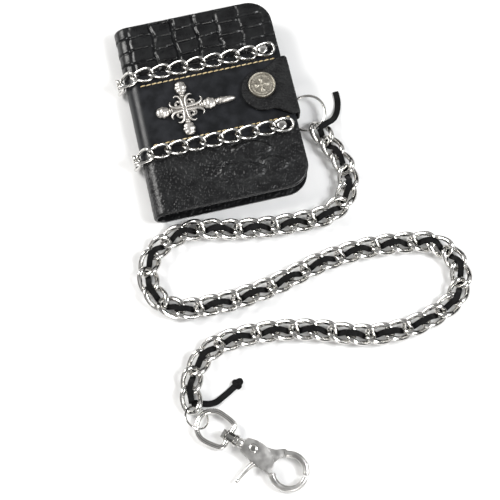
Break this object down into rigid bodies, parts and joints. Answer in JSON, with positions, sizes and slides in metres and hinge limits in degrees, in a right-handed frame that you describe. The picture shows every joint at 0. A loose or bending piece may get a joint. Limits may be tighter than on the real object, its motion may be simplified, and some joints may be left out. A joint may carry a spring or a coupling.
{
  "type": "chain wallet",
  "caption": "Bifold leather wallet with laced wallet chain, split ring and swivel snap hook; front has grained and smooth leather zones, curb chains, cross ornament and a snap strap.",
  "frame": {"origin": "centre of the closed wallet's back face, which lies on the table", "axes": "+X from the spine to the opening edge, +Y up the wallet's height, +Z out of the front cover"},
  "size_m": [0.1879, 0.2873, 0.0213],
  "materials": {
    "grained_leather": "embossed scale grain, semi-gloss black",
    "smooth_leather": "smooth satin black",
    "strap_leather": "pebbled black",
    "lining_leather": "matte black lining",
    "thread": "waxed cream thread",
    "suede_lace": "matte black suede",
    "antique_silver": "antique silver with dark recesses",
    "snap_metal": "nickel plated",
    "nickel": "bright nickel plate"
  },
  "bodies": {
    "back": {"back_hide": "grained_leather", "back_lining": "lining_leather", "back_slot_1": "lining_leather", "back_slot_2": "lining_leather", "back_slot_3": "lining_leather", "ring_keeper": "lining_leather"},
    "spine": {"spine_hide": "grained_leather", "spine_lining": "lining_leather", "spine_links": "nickel", "spine_chain_rivets": "nickel"},
    "corner": {"corner_links": "nickel"},
    "front": {"front_hide": "grained_leather", "panel_top": "grained_leather", "panel_band": "smooth_leather", "panel_low": "grained_leather", "stitch_upper": "thread", "stitch_lower": "thread", "cover_chain_upper": "nickel", "cover_chain_lower": "nickel", "cover_chain_rivets": "nickel", "cross_ornament": "antique_silver", "snap_stud": "snap_metal", "snap_stud_back": "snap_metal", "front_lining": "lining_leather", "front_slot_1": "lining_leather", "front_slot_2": "lining_leather", "front_slot_3": "lining_leather"},
    "strap": {"strap_leather": "strap_leather", "snap_cap": "antique_silver", "snap_socket": "snap_metal"},
    "ring": {"wallet_ring": "nickel"},
    "chain_0": {"chain_run_0": "nickel", "lace_0": "suede_lace"},
    "chain_1": {"chain_run_1": "nickel", "lace_1": "suede_lace"},
    "chain_2": {"chain_run_2": "nickel", "lace_2": "suede_lace"},
    "chain_3": {"chain_run_3": "nickel", "lace_3": "suede_lace"},
    "chain_4": {"chain_run_4": "nickel", "lace_4": "suede_lace"},
    "chain_5": {"chain_run_5": "nickel", "lace_5": "suede_lace"},
    "chain_6": {"chain_run_6": "nickel", "lace_6": "suede_lace"},
    "chain_7": {"chain_run_7": "nickel", "lace_7": "suede_lace"},
    "chain_8": {"chain_run_8": "nickel", "lace_8": "suede_lace"},
    "chain_9": {"chain_run_9": "nickel", "lace_9": "suede_lace"},
    "end_ring": {"end_ring": "nickel"},
    "eye": {"swivel_eye": "nickel"},
    "hook": {"swivel_pin": "nickel", "hook_body": "nickel", "hook_rivet": "nickel"},
    "gate": {"hook_gate": "nickel"}
  },
  "joints": [
    {"name": "spine_fold", "type": "hinge", "parent": "back", "child": "spine", "pos_m": [-0.0453, 0, 0.0017], "axis": [0, -1, 0], "range_deg": [0, 84]},
    {"name": "front_fold", "type": "hinge", "parent": "spine", "child": "front", "pos_m": [-0.0478, 0, 0.0168], "axis": [0, -1, 0], "range_deg": [0, 84]},
    {"name": "corner_turn", "type": "hinge", "parent": "spine", "child": "corner", "pos_m": [-0.04975, 0, 0.0135], "axis": [0, -1, 0], "range_deg": [0, 56]},
    {"name": "strap_flap", "type": "hinge", "parent": "back", "child": "strap", "pos_m": [0.0485, 0.0015, 0.0077], "axis": [0, 1, 0], "range_deg": [0, 94], "deforming": ["strap_leather", "snap_cap", "snap_socket"]},
    {"name": "ring_swing", "type": "hinge", "parent": "back", "child": "ring", "pos_m": [0.0446, -0.0136, 0.005], "axis": [0, 0, 1], "range_deg": [-1, 8]},
    {"name": "chain_bend_0", "type": "hinge", "parent": "ring", "child": "chain_0", "pos_m": [0.0583, -0.0228, 0.0048], "axis": [0, 0, 1], "range_deg": [-1, 6]},
    {"name": "chain_bend_1", "type": "hinge", "parent": "chain_0", "child": "chain_1", "pos_m": [0.04179, -0.07844, 0.0048], "axis": [0, 0, 1], "range_deg": [-1, 25]},
    {"name": "chain_bend_2", "type": "hinge", "parent": "chain_1", "child": "chain_2", "pos_m": [-0.02213, -0.06946, 0.0048], "axis": [0, 0, -1], "range_deg": [-2, 12]},
    {"name": "chain_bend_3", "type": "hinge", "parent": "chain_2", "child": "chain_3", "pos_m": [-0.05239, -0.07842, 0.0048], "axis": [0, 0, -1], "range_deg": [-2, 25]},
    {"name": "chain_bend_4", "type": "hinge", "parent": "chain_3", "child": "chain_4", "pos_m": [-0.03288, -0.1151, 0.0048], "axis": [0, 0, -1], "range_deg": [-2, 25]},
    {"name": "chain_bend_5", "type": "hinge", "parent": "chain_4", "child": "chain_5", "pos_m": [0.03105, -0.10697, 0.0048], "axis": [0, 0, 1], "range_deg": [-2, 20]},
    {"name": "chain_bend_6", "type": "hinge", "parent": "chain_5", "child": "chain_6", "pos_m": [0.10591, -0.10697, 0.0048], "axis": [0, 0, 1], "range_deg": [-1, 25]},
    {"name": "chain_bend_7", "type": "hinge", "parent": "chain_6", "child": "chain_7", "pos_m": [0.10049, -0.14816, 0.0048], "axis": [0, 0, 1], "range_deg": [-1, 25]},
    {"name": "chain_bend_8", "type": "hinge", "parent": "chain_7", "child": "chain_8", "pos_m": [0.03758, -0.14541, 0.0048], "axis": [0, 0, 1], "range_deg": [-2, 25]},
    {"name": "chain_bend_9", "type": "hinge", "parent": "chain_8", "child": "chain_9", "pos_m": [-0.0262, -0.13787, 0.0048], "axis": [0, 0, -1], "range_deg": [-3, 25]},
    {"name": "end_ring_swing", "type": "hinge", "parent": "chain_9", "child": "end_ring", "pos_m": [-0.04785, -0.17087, 0.0048], "axis": [0, 0, -1], "range_deg": [-4, 25]},
    {"name": "eye_swing", "type": "hinge", "parent": "end_ring", "child": "eye", "pos_m": [-0.04445, -0.17875, 0.0048], "axis": [0, 0, 1], "range_deg": [-20, 20]},
    {"name": "hook_swivel", "type": "hinge", "parent": "eye", "child": "hook", "pos_m": [-0.03999, -0.18291, 0.004], "axis": [0.7314, -0.682, 0], "continuous": true},
    {"name": "gate_open", "type": "hinge", "parent": "hook", "child": "gate", "pos_m": [-0.02065, -0.19957, 0.004], "axis": [0, 0, 1], "range_deg": [0, 22], "stiffness_Nm_per_rad": 0.05, "springref_deg": -11.46}
  ],
  "couplings": [
    {"joint": "front_fold", "follows": "spine_fold", "ratio": 1},
    {"joint": "corner_turn", "follows": "spine_fold", "ratio": 0.6667},
    {"joint": "strap_flap", "follows": "spine_fold", "ratio": 1.119}
  ]
}
